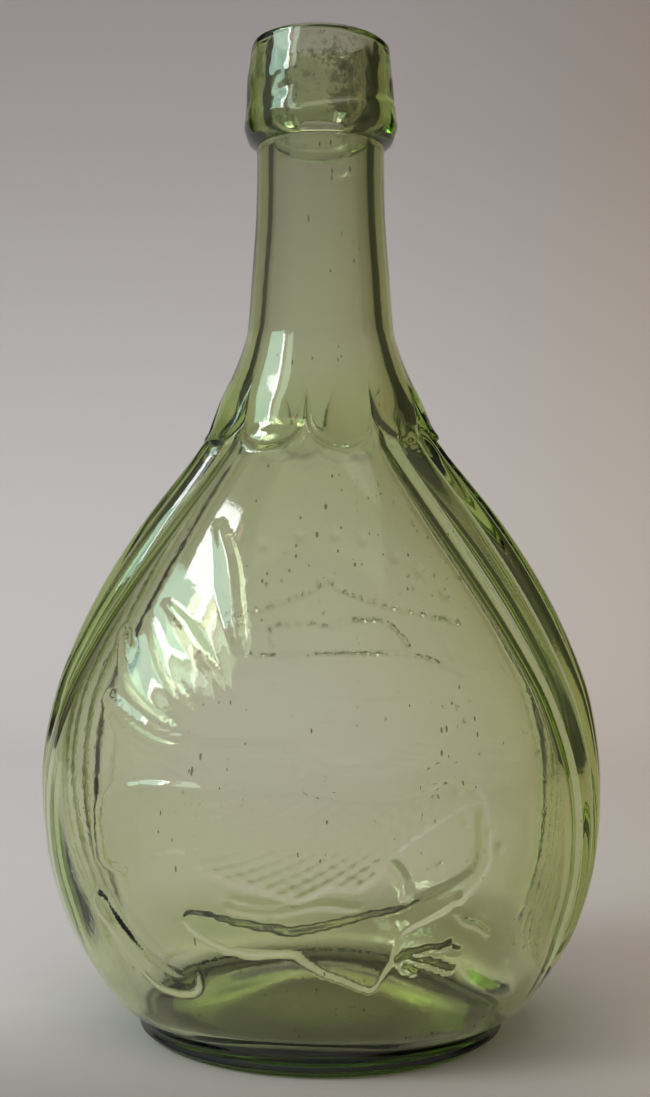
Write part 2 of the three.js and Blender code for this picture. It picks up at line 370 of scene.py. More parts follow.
BROW_RISE = 1.15
BROW_EDGE = 0.5
BROW_WEAR = 0.3
BROW_WEAR_ALONG = 2.1
BROW_WEAR_SWAY = 1.7
BROW_WEAR_UPWARD = 1.9
BROW_LINES = [
    line((-41, 95.5), (-28, 96.6), (-18, 99), (-8, 102.4), (-3, 105)),
    line((-3, 105), (0.5, 102.2), (12.5, 98.4), (24, 96.4), (34.5, 95)),
    line((-19.5, 87), (-19.3, 93), (-10.6, 94), (-2, 92.7), (1, 94), (12.3, 94.2), (17, 91), (20, 87)),
    line((-28, 86), (-17, 85), (-3, 85.2), (10, 85.4), (21.6, 85.4), (34, 81.5)),
]
SHIELD_LINES = [
    line((-28, 79), (-16, 73.3), (-4, 71.6), (6, 71.5), (20, 73), (30, 77)),
    line((-28, 86), (-29.5, 80), (-28, 73), (-22, 63), (-12, 55.5), (0, 51.5)),
    line((34, 81.5), (33.5, 76), (29, 68), (22, 60), (12, 54), (0, 51.5)),
]
STARS = [(-36, 105.4), (-28.5, 111), (-20, 115), (-10.4, 117), (-0.6, 117.5)]
STARS += [(7.6, 116), (17, 111.3), (24, 107.3), (31, 102.2)]
STAR_RADIUS = 1.7
STAR_RISE = 0.65
STAR_POINTS = 5
STAR_POINT_SHARE = 0.28
STAR_EDGE = 0.8
SHIELD_RISE = 0.22
BAR_RISE = 0.18
BAR_STEP = 4.4
BARS_PER_SIDE = 4
BAR_TOP = 69.5
BAR_FOOT = 55
BAR_FOOT_CURVE = 0.045
SPRIG = line((31, 88), (37, 80), (42.5, 70), (46, 59), (48, 48))
LEAF_HALF_WIDTH = 1
LEAF_RISE = 0.2
LEAF_EDGE = 0.7
LEAF_SIDEWAYS = 3.9
LEAF_UPWARDS = 3.575
LEAF_STEP = 6


def resample(points, step=SAMPLE_STEP, closed=False):
    """A smooth curve through points, as samples about a step apart."""
    p = np.array(points, float)
    if closed:
        p = np.vstack([p[-1], p, p[0], p[1]])
    else:
        if len(p) == 2:
            p = np.array([p[0], (p[0] + p[1]) / 2, p[1]])
        p = np.vstack([2 * p[0] - p[1], p, 2 * p[-1] - p[-2]])
    samples = []
    for a, b, c, d in zip(p, p[1:], p[2:], p[3:]):
        count = max(2, int(np.linalg.norm((c - b)[:2]) / step))
        t = np.linspace(0, 1, count, endpoint=False)[:, None]
        bend = (2 * a - 5 * b + 4 * c - d) * t**2 + (3 * b - a - 3 * c + d) * t**3
        samples.append(b + ((c - a) * t + bend) / 2)
    return np.vstack([*samples, p[-2:-1]])


def near_points(x, z, samples, reach):
    low, high = samples[:, :2].min(0) - reach, samples[:, :2].max(0) + reach
    return np.nonzero((x > low[0]) & (x < high[0]) & (z > low[1]) & (z < high[1]))[0]


def raise_stroke(field, x, z, stroke, rise, edge):
    """Lifts a height field to a flat-topped stroke with soft edges."""
    samples = resample(stroke)
    near = near_points(x, z, samples, samples[:, 2].max() + edge)
    inside = np.full(len(near), -np.inf)
    for sx, sz, top in samples:
        inside = np.maximum(inside, top - np.hypot(x[near] - sx, z[near] - sz))
    field[near] = np.maximum(field[near], rise * smooth(inside, -edge, 0))


def raise_feather(field, x, z, stroke, rise, side):
    """Lifts a height field to a feather that slopes up to one edge and drops there."""
    samples = resample(stroke)
    ahead = np.gradient(samples[:, :2], axis=0)
    ahead /= np.linalg.norm(ahead, axis=1)[:, None]
    near = near_points(x, z, samples, samples[:, 2].max() + FEATHER_REACH)
    away = np.full(len(near), np.inf)
    across, half = np.zeros(len(near)), np.ones(len(near))
    for (sx, sz, top), (tx, tz) in zip(samples, ahead):
        dx, dz = x[near] - sx, z[near] - sz
        closer = np.hypot(dx, dz) < away
        away = np.where(closer, np.hypot(dx, dz), away)
        across = np.where(closer, side * (dz * tx - dx * tz), across)
        half = np.where(closer, top, half)
    slope = np.clip((half - across) / (2 * half), 0, 1)
    field[near] = np.maximum(field[near], rise * slope * (1 - smooth(away - half, *FEATHER_SIDES)))


def area_share(x, z, outline, edge):
    """1 inside an outline, down to 0 over a soft edge that has the outline in its middle."""
    samples = resample(outline, closed=True)
    share = np.zeros(len(x))
    near = near_points(x, z, samples, edge)
    px, pz = x[near], z[near]
    away = np.full(len(near), np.inf)
    crossings = np.zeros(len(near), int)
    for (ax, az), (bx, bz) in zip(samples, np.roll(samples, -1, axis=0)):
        away = np.minimum(away, np.hypot(px - ax, pz - az))
        spans = (az > pz) != (bz > pz)
        left = px < ax + (pz - az) * (bx - ax) / (bz - az if bz != az else 1)
        crossings += spans & left
    signed = np.where(crossings % 2 == 1, away, -away)
    share[near] = smooth(signed, -edge / 2, edge / 2)
    return share


def plume_rows(x, z):
    """Rows of short raised feathers over the bird's breast, which rise to the right."""
    slope = PLUME_ROW_SLOPE + PLUME_ROW_TURN_PER_MM * (x - PLUME_ROWS_AT)
    along = x * np.cos(slope) + z * np.sin(slope)
    across = (z * np.cos(slope) - x * np.sin(slope)) / PLUME_ROW_STEP
    row = np.floor(across)
    u = across_span(along / PLUME_LENGTH + row % 2 / 2 + PLUME_OFFSET * np.sin(row * PLUME_SHUFFLE))
    v = across_span(across)
    return (1 - u**2) * (1 - v) / 2 * smooth(v, *PLUME_DROP)


def breast_relief(x, z, bird):
    plumage = bird * smooth(x, *PLUMAGE_LEFT) * (1 - smooth(x, *PLUMAGE_RIGHT))
    plumage *= 1 - smooth(z, *PLUMAGE_TOP)
    return BIRD_RISE * bird + PLUMAGE_RISE * plumage * plume_rows(x, z)


def lines_relief(x, z):
    field = np.zeros(len(x))
    for strokes, rise, edge in FRONT_LINES:
        for stroke in strokes:
            raise_stroke(field, x, z, stroke, rise, edge)
    return field


def tail_relief(x, z):
    field = np.zeros(len(x))
    for feather in TAIL:
        raise_stroke(field, x, z, feather, TAIL_RISE, TAIL_EDGE)
    return field


def front_relief(x, z):
    bird = area_share(x, z, BIRD, OUTLINE_SOFTNESS) * smooth(x, *BIRD_LEFT)
    field = breast_relief(x, z, bird)
    field = np.maximum(field, RIBBON_RISE * area_share(x, z, RIBBON, OUTLINE_SOFTNESS))
    field = np.maximum(field, CURL_RISE * area_share(x, z, CURL, CURL_EDGE))
    field = np.maximum(field, lines_relief(x, z))
    field += tail_relief(x, z) * bird
    for rise, side, feather in WING:
        raise_feather(field, x, z, feather, rise, side)
    for bx, bz in [*BERRIES, EYE]:
        field += BERRY_RISE * smooth(BERRY_RADIUS - np.hypot(x - bx, z - bz), 0, BERRY_EDGE)
    return field


def brow_relief(x, z):
    """The lines over the shield, worn unevenly."""
    field = np.zeros(len(x))
    for stroke in BROW_LINES:
        raise_stroke(field, x, z, stroke, BROW_RISE, BROW_EDGE)
    wear = np.sin(x * BROW_WEAR_ALONG + BROW_WEAR_SWAY * np.sin(z * BROW_WEAR_UPWARD))
    return field * (1 - BROW_WEAR + BROW_WEAR * wear)


def sprig_leaves():
    for x, z, _ in resample(SPRIG, LEAF_STEP)[1:-1]:
        for side in (-1, 1):
            tip_x, tip_z = x + side * LEAF_SIDEWAYS, z + LEAF_UPWARDS
            middle = ((x + tip_x) / 2, (z + tip_z) / 2, LEAF_HALF_WIDTH)
            yield [(x, z, LINE_TOP), middle, (tip_x, tip_z, LINE_TOP)]


def shield_bars():
    for i in range(-BARS_PER_SIDE, BARS_PER_SIDE + 1):
        x = i * BAR_STEP
        yield line((x, BAR_FOOT + BAR_FOOT_CURVE * x**2), (x, BAR_TOP))


def star_relief(x, z, star_x, star_z):
    turn = np.arctan2(x - star_x, z - star_z)
    reach = STAR_RADIUS * (1 - STAR_POINT_SHARE + STAR_POINT_SHARE * np.cos(STAR_POINTS * turn))
    inside = reach + STAR_EDGE / 2 - np.hypot(x - star_x, z - star_z)
    return STAR_RISE * smooth(inside, 0, STAR_EDGE)


def back_relief(x, z):
    field = brow_relief(x, z)
    for stroke in [*SHIELD_LINES, SPRIG]:
        raise_stroke(field, x, z, stroke, SHIELD_RISE, LINE_EDGE)
    for leaf in sprig_leaves():
        raise_stroke(field, x, z, leaf, LEAF_RISE, LEAF_EDGE)
    for bar in shield_bars():
        raise_stroke(field, x, z, bar, BAR_RISE, LINE_EDGE)
    for star_x, star_z in STARS:
        field = np.maximum(field, star_relief(x, z, star_x, star_z))
    return field


# Skins of the body. Rib and petal shares say where columns of points stand across each one.

FACE_SINK = 0.9
SIDE_SINK = 0.12
SINK_FADE_HEIGHT = 25
FACE_EDGE = (1.17, 1.4)
RELIEF_FOOT = (FOOT_BAND_HEIGHT, 12)
WAVE_HEIGHT = 0.1
WAVE_LENGTH = 22
WAVE_SEED = 1
INNER_WAVE_HEIGHT = 0.3
INNER_WAVE_LENGTH = 34
INNER_WAVE_SEED = 2
INNER_WAVE_FADE_HEIGHT = 8
NOISE_SHIFT = (17.3, 5.1, 9.7)
JOINT_LAP = 0.02
RIB_SHARES = [0, 0.02, 0.07, 0.16, 0.3, 0.5, 0.7, 0.84, 0.93, 0.98]
INNER_RIB_SHARES = [0, 0.06, 0.2, 0.4, 0.6, 0.8, 0.94]
SHOULDER_SHARES = [0.2, 0.5, 0.8, 1]
PETAL_SHARES = [0, 0.01, 0.03, 0.06, 0.1, 0.15, 0.21, 0.28, 0.36, 0.45]
PETAL_SHARES += [0.55, 0.64, 0.72, 0.79, 0.85, 0.9, 0.94, 0.97, 0.99]
RELIEF_LOW = 16
BIRD_TOP = 67
BROW_FOOT = 84
BROW_TOP = 106
PETAL_LEAD = 0.4
PETALS_LOW = PETAL_FOOT - PETAL_LEAD
# (lowest row, stretches of (step, end), columns on each half of the front, columns on the back)
BODY_BANDS = [
    (0, [(0.3, FOOT_BAND_HEIGHT), (0.5, HEEL[0]), (0.8, RELIEF_LOW)], 40, 60),
    (RELIEF_LOW, [(0.7, BIRD_TOP)], 122, 46),
    (BIRD_TOP, [(0.9, BROW_FOOT)], 80, 60),
    (BROW_FOOT, [(0.65, BROW_TOP)], 56, 176),
    (BROW_TOP, [(0.9, PETALS_LOW)], 50, 100),
]
PETAL_STRETCHES = [(0.45, 147), (1.2, 165), (3, COLLAR_FOOT)]
INSIDE_STRETCHES = [(2.8, PETAL_FOOT), (1.2, 150), (3, COLLAR_FOOT)]
INSIDE_COLUMNS = (26, 44)
FOOT_COLUMNS = 120
PUSH_UP_SHARES = np.linspace(0.08, 0.97, 14)
FLOOR_SHARES = np.linspace(0.85, 0.08, 12)
REST_RING_ROUNDING = 0.985
# (share of the inside's width, share of the way down to the floor)
FLOOR_CORNER = [(0.985, 0.25), (0.955, 0.5), (0.91, 0.72)]


def wavy(x, y, z, length, seed):
    """Smooth noise about 1 high over a stated length, at some points."""
    shift = Vector([seed * part for part in NOISE_SHIFT])
    return np.array([noise.noise(Vector(p) / length + shift) for p in zip(x, y, z)])


def face_relief(x, y, z):
    relief = np.zeros(len(x))
    front, back = y < 0, y >= 0
    relief[front] = front_relief(x[front], z[front])
    relief[back] = back_relief(x[back], z[back])
    return relief


def outer_skin(z, angle):
    """Points of the outside, for arrays of heights and angles."""
    x, y = section(half_width(z), half_depth(z), squareness(z), angle)
    scale = 1 + (petal_rise(z, angle) - groove_cut(z, angle)) / np.hypot(x, y)
    x, y = x * scale, y * scale
    relief = face_relief(x, y, z) * smooth(np.abs(rib_share(z, angle)), *FACE_EDGE)
    relief += WAVE_HEIGHT * wavy(x, y, z, WAVE_LENGTH, WAVE_SEED)
    sunk = SIDE_SINK + (FACE_SINK - SIDE_SINK) * np.sin(angle) ** 2
    sunk *= 1 - smooth(z, SHOULDER[0] - SINK_FADE_HEIGHT, SHOULDER[0])
    relief = (relief - sunk) * smooth(z, *RELIEF_FOOT)
    nx, ny = x / half_width(z) ** 2, y / half_depth(z) ** 2
    away = np.hypot(nx, ny)
    y = y + relief * ny / away
    return x + relief * nx / away, np.clip(y, -BELLY_HALF_DEPTH, BELLY_HALF_DEPTH)


def inner_skin(z, angle):
    """Behind the ribs the wall is thick, but on the left it is thinner and more even.

    The heel is thickest at the back.
    """
    in_heel = 1 - smooth(z, *BACK_HEEL_SPAN)
    wall = wall_at(z) + BACK_HEEL_THICKENING * smooth(np.sin(angle), *BACK_HEEL_FADE) * in_heel
    left = smooth(-np.cos(angle), *LEFT_FADE)
    backing = RIB_BACKING * (1 - (1 - LEFT_BACKING_SHARE) * left)
    width = half_width(z) - wall - backing * rib_growth(z)
    x, y = section(width, half_depth(z) - wall, squareness(z), angle)
    even = left * at_back(angle)
    swell = -(GROOVE_INSIDE_SHARE + (1 - GROOVE_INSIDE_SHARE) * even) * groove_cut(z, angle)
    wave = INNER_WAVE_HEIGHT * wavy(x, y, z, INNER_WAVE_LENGTH, INNER_WAVE_SEED)
    swell += wave * smooth(COLLAR_FOOT - z, 0, INNER_WAVE_FADE_HEIGHT)
    scale = 1 + swell / np.hypot(x, y)
    return x * scale, y * scale


def rib_columns(z, shares, half_front, back):
    """Angles round a section, with a column along each groove between the ribs."""
    spans = [2 * (k + share) / RIBS_PER_SIDE - 1 for k in range(RIBS_PER_SIDE) for share in shares]
    edge = 1 + GROOVE_SHOULDER * np.array(SHOULDER_SHARES)
    side = rib_fan(z) * np.concatenate([-edge[::-1], spans, [1], edge])
    reach = side[-1]
    return np.concatenate([
        np.linspace(-math.pi / 2, -reach, half_front, endpoint=False),
        side,
        np.linspace(reach, math.pi - reach, back, endpoint=False)[1:],
        math.pi + side,
        np.linspace(math.pi + reach, math.pi * 1.5, half_front, endpoint=False)[1:],
    ])


def petal_columns():
    """Angles round a section, closer together along the grooves between the petals."""
    shares = [k + share for k in range(PETAL_COUNT) for share in PETAL_SHARES]
    return -math.pi / 2 + np.array(shares) * 2 * math.pi / PETAL_COUNT


def heights(low, *stretches):
    """Heights from the lowest one, through stretches of (step, end), without the last end."""
    rows = []
    for step, high in stretches:
        rows.extend(np.linspace(low, high, max(1, round((high - low) / step)), endpoint=False))
        low = high
    return rows


class Skin:
    """Gathers rings of points, from the axis out and back to it, into one closed mesh."""

    def __init__(self, tip):
        self.points = [np.array([tip], float)]
        self.count = 1
        self.faces = []
        self.last = None

    def ring(self, x, y, z, angles):
        """Adds a ring and joins it to the one before."""
        n = len(x)
        self.points.append(np.column_stack([x, y, np.broadcast_to(z, n)]))
        new = (self.count, np.asarray(angles))
        self.count += n
        if self.last is None:
            self.faces += [(0, new[0] + (i + 1) % n, new[0] + i) for i in range(n)]
        elif len(self.last[1]) == n:
            self.join_even(new)
        else:
            self.join_uneven(new)
        self.last = new

    def join_even(self, new):
        n = len(new[1])
        for i in range(n):
            j = (i + 1) % n
            self.faces.append((self.last[0] + i, self.last[0] + j, new[0] + j, new[0] + i))

    def join_uneven(self, new):
        """Joins rings of unlike counts, always from the ring whose next point comes first."""
        (old_start, old), (new_start, fresh) = self.last, new
        old_turn = np.append(old, old[0] + 2 * math.pi)
        new_turn = np.append(fresh, fresh[0] + 2 * math.pi)
        a = b = 0
        while a < len(old) or b < len(fresh):
            at_old, at_new = old_start + a % len(old), new_start + b % len(fresh)
            if b == len(fresh) or (a < len(old) and old_turn[a + 1] <= new_turn[b + 1]):
                self.faces.append((at_old, old_start + (a + 1) % len(old), at_new))
                a += 1
            else:
                self.faces.append((at_old, new_start + (b + 1) % len(fresh), at_new))
                b += 1

    def close(self, tip):
        self.points.append(np.array([tip], float))
        start, angles = self.last
        n = len(angles)
        self.faces += [(start + i, start + (i + 1) % n, self.count) for i in range(n)]
        self.count += 1

    def mesh(self, name):
        return mesh_of(name, np.vstack(self.points), self.faces)


def mesh_of(name, points, faces):
    made = bpy.data.meshes.new(name)
    made.from_pydata((points * MM).tolist(), [], faces)
    made.validate()
    made.shade_smooth()
    return made


def add_rows(skin, rows, columns_at, skin_at):
    """Adds rings at some heights, with all their points worked out together."""
    angles = [columns_at(z) for z in rows]
    z = np.repeat(np.array(rows, float), [len(a) for a in angles])
    x, y = skin_at(z, np.concatenate(angles))
    start = 0
    for row, turn in zip(rows, angles):
        end = start + len(turn)
        skin.ring(x[start:end], y[start:end], row, turn)
        start = end


def add_dome(skin, edge, angles, edge_height, rise, shares):
    """Adds rings that shrink towards the axis over a low dome, or grow from it."""
    for share in shares:
        lift = rise * (1 + math.cos(math.pi * share)) / 2
        skin.ring(edge[0] * share, edge[1] * share, edge_height + lift, angles)


def add_underside(skin):
    angles = np.linspace(-math.pi / 2, math.pi * 1.5, FOOT_COLUMNS, endpoint=False)
    _, width, depth = OUTLINE[0]
    rest = section(width, depth, ROUND_POWER, angles)
    inner_share = 1 - REST_RING_WIDTH / width
    inner_edge = [v * inner_share for v in rest]
    add_dome(skin, inner_edge, angles, 0, PUSH_UP_RISE, PUSH_UP_SHARES)
    skin.ring(*inner_edge, 0, angles)
    skin.ring(*(v * REST_RING_ROUNDING for v in rest), 0, angles)


def add_outside(skin):
    for low, stretches, half_front, back in BODY_BANDS:
        add_rows(skin, heights(low, *stretches),
                 lambda z: rib_columns(z, RIB_SHARES, half_front, back), outer_skin)
    petals = petal_columns()
    rows = heights(PETALS_LOW, *PETAL_STRETCHES)
    add_rows(skin, [*rows, COLLAR_FOOT + JOINT_LAP], lambda z: petals, outer_skin)


def add_inside(skin):
    rows = heights(FLOOR_EDGE, *INSIDE_STRETCHES)[::-1]
    add_rows(skin, [COLLAR_FOOT + JOINT_LAP, *rows],
             lambda z: rib_columns(z, INNER_RIB_SHARES, *INSIDE_COLUMNS), inner_skin)
    angles = rib_columns(FLOOR_EDGE, INNER_RIB_SHARES, *INSIDE_COLUMNS)
    x, y = inner_skin(np.full(len(angles), float(FLOOR_EDGE)), angles)
    drop = FLOOR_EDGE - BASE_THICKNESS
    for share, fallen in FLOOR_CORNER:
        skin.ring(x * share, y * share, FLOOR_EDGE - fallen * drop, angles)
    add_dome(skin, (x, y), angles, BASE_THICKNESS, PUSH_UP_RISE, FLOOR_SHARES)


def body_mesh():
    skin = Skin((0, 0, PUSH_UP_RISE))
    add_underside(skin)
    add_outside(skin)
    add_inside(skin)
    skin.close((0, 0, PUSH_UP_RISE + BASE_THICKNESS))
    return skin.mesh("body_glass")


# The collar: a second gather laid round the end of the neck, with the lap where it ends

COLLAR_COLUMNS = 360
UNDERSIDE_ROWS = 15
SIDE_ROWS = 26
LIP_ROWS = 8
BORE_ROWS = 32
COLLAR_FOOT_SHARES = (0.35, 0.7)
COLLAR_SINK = 0.3
COLLAR_TILT = 0.6
TILT_TO = math.radians(50)
LAP_START = math.radians(-108)
LAP_TURN = math.radians(88)
LAP_LOW = 4.6
LAP_CLIMB = 5.2
LAP_BEND = 1.5
LAP_RISE = 0.7
LAP_SINK = 0.45
LAP_EDGE = 0.6
BEAD_RISE = 0.6
BEAD_HEIGHT = 1.4
BEAD_REACH = 0.7
BORE_RIPPLE_SHARE = 0.5
# (height, length, seed)
COLLAR_RIPPLES = [(0.25, 8, 3), (0.07, 2.6, 4)]
# Spans over which things fade: the first two go by shares of the lap's turn, the others of height
LAP_TAIL = (0, 0.25)
LAP_END = (1, 1.4)
LAP_SINK_FADE = (0.3, 0.65)
COLLAR_FOOT_FADE = (0, 0.12)


def underside_point(share):
    out = 1 - (1 - share) ** 2
    up = share * (1 - share) / 2 + share * share
    radius = NECK_TOP_RADIUS + (COLLAR_WIDE_RADIUS - NECK_TOP_RADIUS) * out
    return radius, COLLAR_FOOT + COLLAR_UNDERSIDE_HEIGHT * up


def collar_profile():
    """(radius, height) round the collar's section, from its foot up the outside."""
    wide = COLLAR_FOOT + COLLAR_UNDERSIDE_HEIGHT
    top = FLASK_HEIGHT - LIP_ROUND
    under = [underside_point(s) for s in np.linspace(0, 1, UNDERSIDE_ROWS)]
    side = [
        (COLLAR_WIDE_RADIUS + (COLLAR_TOP_RADIUS - COLLAR_WIDE_RADIUS) * s, wide + (top - wide) * s)
        for s in np.linspace(0, 1, SIDE_ROWS)[1:]
    ]
    quarter = np.linspace(0, math.pi / 2, LIP_ROWS)[1:]
    outer_lip = [
        (COLLAR_TOP_RADIUS - LIP_ROUND * (1 - math.cos(a)), top + LIP_ROUND * math.sin(a))
        for a in quarter
    ]
    flat = ((COLLAR_TOP_RADIUS + BORE_RADIUS) / 2, FLASK_HEIGHT)
    inner_lip = [
        (BORE_RADIUS + LIP_ROUND * (1 - math.sin(a)), top + LIP_ROUND * math.cos(a))
        for a in quarter
    ]
    bore = [(BORE_RADIUS, top + (COLLAR_FOOT - top) * s) for s in np.linspace(0, 1, BORE_ROWS)[1:]]
    foot = [(BORE_RADIUS + NECK_WALL * s, COLLAR_FOOT) for s in COLLAR_FOOT_SHARES]
    return [*under, *side, *outer_lip, flat, *inner_lip, *bore, *foot]


def lap_rise(angles, height):
    """The tail of the gather: a wedge that climbs round the front from a point low on it."""
    turn = (angles - LAP_START) / LAP_TURN
    edge = COLLAR_FOOT + LAP_LOW + LAP_CLIMB * np.clip(turn, 0, 1) ** LAP_BEND
    on_lap = smooth(turn, *LAP_TAIL) * (1 - smooth(turn, *LAP_END))
    return LAP_RISE * on_lap * smooth(edge - height, -LAP_EDGE, LAP_EDGE)


def collar_swell(radius, height, up, angles, ripple):
    """Ripples all round, the lap on the outside, and a bead in the bore near the collar's foot."""
    grown = smooth(up, *COLLAR_FOOT_FADE)
    if radius > (NECK_TOP_RADIUS + BORE_RADIUS) / 2:
        sunk = COLLAR_SINK + LAP_SINK * (1 - smooth(up, *LAP_SINK_FADE))
        return (ripple - sunk + lap_rise(angles, height)) * grown
    swell = BORE_RIPPLE_SHARE * ripple * grown
    if radius == BORE_RADIUS:
        swell -= BEAD_RISE * np.exp(-(((height - COLLAR_FOOT - BEAD_HEIGHT) / BEAD_REACH) ** 2))
    return swell


def collar_ring(radius, height, angles):
    up = (height - COLLAR_FOOT) / (FLASK_HEIGHT - COLLAR_FOOT)
    x, y = radius * np.cos(angles), radius * np.sin(angles)
    z = height - COLLAR_TILT * (1 + np.cos(angles - TILT_TO)) * up
    ripple = sum(rise * wavy(x, y, z, length, seed) for rise, length, seed in COLLAR_RIPPLES)
    swollen = radius + collar_swell(radius, height, up, angles, ripple)
    swollen = np.minimum(swollen, COLLAR_WIDE_RADIUS)
    return np.column_stack([swollen * np.cos(angles), swollen * np.sin(angles), z])


def collar_mesh():
    n = COLLAR_COLUMNS
    angles = np.linspace(-math.pi, math.pi, n, endpoint=False)
    rings = [collar_ring(radius, height, angles) for radius, height in collar_profile()]
    faces = []
    for r in range(len(rings)):
        low, high = r * n, (r + 1) % len(rings) * n
        faces += [(low + i, low + (i + 1) % n, high + (i + 1) % n, high + i) for i in range(n)]
    return mesh_of("collar_glass", np.vstack(rings), faces)


# Materials

# A texture is (scale, detail, roughness), and a span is the part of its values that is used
GLASS_IOR = 1.52
GLASS_DENSITY = 88
GLASS_TINT = (0.65, 0.805, 0.13, 1)
SMUDGES = (45, 5, 0.6)
SMUDGE_SPAN = (0.4, 0.75)
SMUDGE_ROUGHNESS = (0.02, 0.1)
SPECK_SCALE = 400
SPECK_STRETCH = (1, 1, 0.3)
SPECK_COLOUR = (0.12, 0.13, 0.08, 1)
SPECK_PATCHES = (60, 4, 0.7)
SPECK_SPAN = (0.4, 0.7)
SPECK_SIZES = (0, 0.15)
GRIME_COLOUR = (0.14, 0.15, 0.1, 1)
GRIME_PATCHES = (80, 6, 0.75)
GRIME_STRETCH = (1, 1, 0.8)
GRIME_SPAN = (0.53, 0.58)
GRIME_COVER = (0, 0.9)
GRIME_HEIGHTS = (0.206, 0.214)
BUMP_DISTANCE = 0.0005
# (strength, texture)
BUMPS = [(0.05, (70, 3, 0.5)), (0.02, (800, 2, 0.5))]
# (height in metres, brightness): the dark stops at the foot are painted shade where it rests on the floor,
# the later ones a film
HAZE_AND_FOOT_SHADE = [(0, 0.5), (0.0025, 0.55), (0.004, 1), (0.025, 1), (0.06, 0.95), (0.1, 0.92)]
HAZE_AND_FOOT_SHADE += [(0.135, 0.87), (0.172, 0.85), (0.2275, 0.76), (0.23, 0.45)]
HAZE_TONE = (1, 0.99, 0.96)

# The paper's colour holds painted light: darker up the wall as painted shade, darker and warmer to the
# right as painted shade with the flask's tinted shadow, and darker in front of the flask as a painted
# shadow.
PAPER_LOW = (0.73, 0.68, 0.695, 1)
PAPER_HIGH = (0.40, 0.355, 0.375, 1)
PAPER_SHADE_HEIGHTS = (0, 0.6)
PAPER_RIGHT_PAINTED_SHADE = (0.87, 0.78, 0.64, 1)
PAPER_RIGHT_SPAN = (-0.1, 0.25)
PAPER_FRONT_PAINTED_SHADOW = (0.46, 0.44, 0.42, 1)
PAPER_FRONT_SPAN = (0, -0.08)
PAPER_ROUGHNESS = 0.85
PAPER_SPECULAR = 0.1


def material(name):
    made = bpy.data.materials.new(name)
    made.use_nodes = True
    tree = made.node_tree
    return made, tree, tree.nodes["Principled BSDF"], tree.nodes["Material Output"]


def node(tree, kind, **values):
    """Adds a node, with its properties and inputs set, or inputs linked to a socket."""
    made = tree.nodes.new(kind)
    for key, value in values.items():
        if key not in made.inputs:
            setattr(made, key, value)
        elif isinstance(value, bpy.types.NodeSocket):
            tree.links.new(value, made.inputs[key])
        else:
            made.inputs[key].default_value = value
    return made


def mapped(tree, value, low, high, to_low=0, to_high=1):
    made = node(tree, "ShaderNodeMapRange", Value=value)
    for key, number in zip(("From Min", "From Max", "To Min", "To Max"), (low, high, to_low, to_high)):
        made.inputs[key].default_value = number
    return made.outputs["Result"]


def mixed(tree, share, first, second, blend="MIX"):
    """The first colour, with a share of the second over it."""
    made = node(tree, "ShaderNodeMix", data_type="RGBA", blend_type=blend, Factor=share, A=first, B=second)
    return made.outputs["Result"]


def maths(tree, operation, first, second):
    made = node(tree, "ShaderNodeMath", operation=operation)
    tree.links.new(first, made.inputs[0])
    tree.links.new(second, made.inputs[1])
    return made.outputs["Value"]


def axes_of(tree, space):
    coords = node(tree, "ShaderNodeTexCoord")
    return node(tree, "ShaderNodeSeparateXYZ", Vector=coords.outputs[space]).outputs


def stretched(tree, stretch):
    coords = node(tree, "ShaderNodeTexCoord")
    squash = node(tree, "ShaderNodeMapping", Vector=coords.outputs["Object"], Scale=stretch)
    return squash.outputs["Vector"]


def noise_of(tree, texture, stretch=(1, 1, 1)):
    scale, detail, roughness = texture
    made = node(tree, "ShaderNodeTexNoise", Vector=stretched(tree, stretch),
                Scale=scale, Detail=detail, Roughness=roughness)
    return made.outputs["Fac"]


def haze_and_foot_shade_ramp(tree, height):
    """Painted shade on the foot where it rests on the floor, and a film that thickens up the neck and in
    the collar.
    """
    top = HAZE_AND_FOOT_SHADE[-1][0]
    ramp = node(tree, "ShaderNodeValToRGB", Fac=mapped(tree, height, 0, top))
    stops = ramp.color_ramp.elements
    # New stops start in the middle and get their places in order below
    while len(stops) < len(HAZE_AND_FOOT_SHADE):
        stops.new(0.5)
    for stop, (at, level) in zip(stops, HAZE_AND_FOOT_SHADE):
        stop.position = at / top
        stop.color = (*(level * part for part in HAZE_TONE), 1)
    return ramp.outputs["Color"]


def film_foot_shade_and_grime(tree):
    """The film and the painted shade on the foot, with grime caked in the mouth."""
    height = axes_of(tree, "Object")["Z"]
    in_mouth = mapped(tree, height, *GRIME_HEIGHTS)
    patches = mapped(tree, noise_of(tree, GRIME_PATCHES, GRIME_STRETCH), *GRIME_SPAN, *GRIME_COVER)
    caked = maths(tree, "MULTIPLY", in_mouth, patches)
    return mixed(tree, caked, haze_and_foot_shade_ramp(tree, height), GRIME_COLOUR)


def speck_share(tree):
    """1 in dark specks, longer upwards than across, which gather in some places."""
    cells = node(tree, "ShaderNodeTexVoronoi", Vector=stretched(tree, SPECK_STRETCH), Scale=SPECK_SCALE)
    size = mapped(tree, noise_of(tree, SPECK_PATCHES), *SPECK_SPAN, *SPECK_SIZES)
    return maths(tree, "LESS_THAN", cells.outputs["Distance"], size)


def uneven_normal(tree):
    normal = None
    for strength, texture in BUMPS:
        height = noise_of(tree, texture)
        bump = node(tree, "ShaderNodeBump", Strength=strength, Distance=BUMP_DISTANCE, Height=height)
        if normal is not None:
            tree.links.new(normal, bump.inputs["Normal"])
        normal = bump.outputs["Normal"]
    return normal


